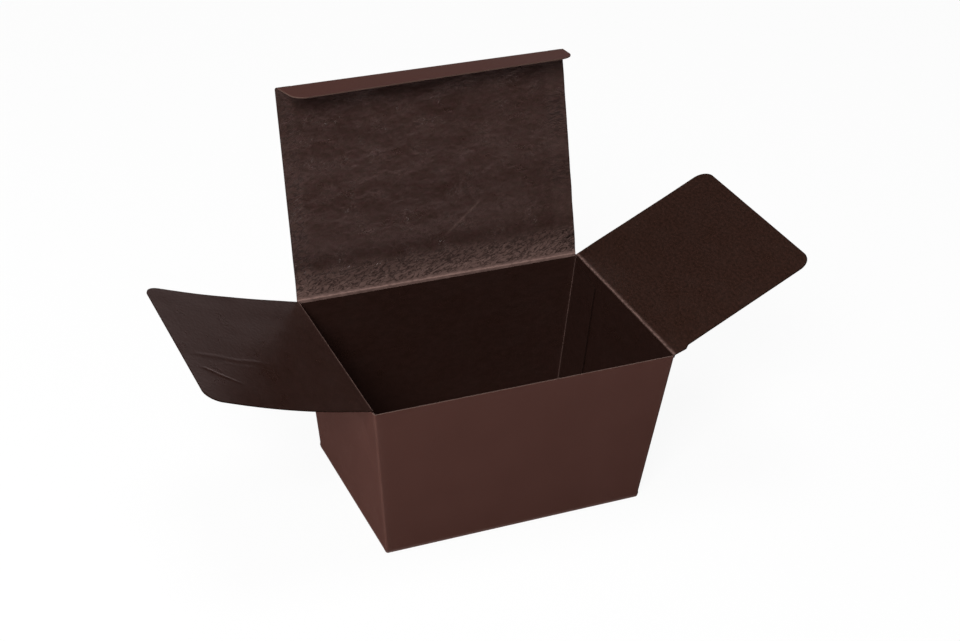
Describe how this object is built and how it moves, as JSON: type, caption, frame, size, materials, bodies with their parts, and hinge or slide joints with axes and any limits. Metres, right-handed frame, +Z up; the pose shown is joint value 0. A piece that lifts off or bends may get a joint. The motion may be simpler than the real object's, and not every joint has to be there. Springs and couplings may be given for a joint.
{
  "type": "praline box",
  "caption": "Open tapered folding carton for pralines, with a hinged lid and its tuck flap, and hinged dust flaps on both sides.",
  "frame": {"origin": "middle of the base's underside, on the surface that the box stands on", "axes": "+X to the right along the front wall, +Y to the back wall that carries the lid, +Z up out of the box"},
  "size_m": [0.2364, 0.1084, 0.1491],
  "materials": {
    "card_body": "satin brown coated board",
    "card_lid": "dark film inside, satin brown coating outside",
    "card_tuck": "satin brown coated board",
    "card_dust": "dark film inside, satin brown coating outside"
  },
  "bodies": {
    "carton": {"carton_body": "card_body"},
    "lid": {"lid": "card_lid"},
    "tuck": {"tuck_flap": "card_tuck"},
    "left_flap": {"left_dust_flap": "card_dust"},
    "right_flap": {"right_dust_flap": "card_dust"}
  },
  "joints": [
    {"name": "lid_hinge", "type": "hinge", "parent": "carton", "child": "lid", "pos_m": [0, 0.04188, 0.06703], "axis": [-1, 0, 0], "range_deg": [-106.9, 93.1]},
    {"name": "tuck_fold", "type": "hinge", "parent": "lid", "child": "tuck", "pos_m": [0, 0.06605, 0.14658], "axis": [1, 0, 0], "range_deg": [-97.5, 1.5]},
    {"name": "left_flap_hinge", "type": "hinge", "parent": "carton", "child": "left_flap", "pos_m": [-0.05978, 0, 0.06642], "axis": [0, -1, 0], "range_deg": [-165.7, 47.9]},
    {"name": "right_flap_hinge", "type": "hinge", "parent": "carton", "child": "right_flap", "pos_m": [0.05978, 0, 0.06642], "axis": [0, 1, 0], "range_deg": [-152.6, 57.7]}
  ]
}
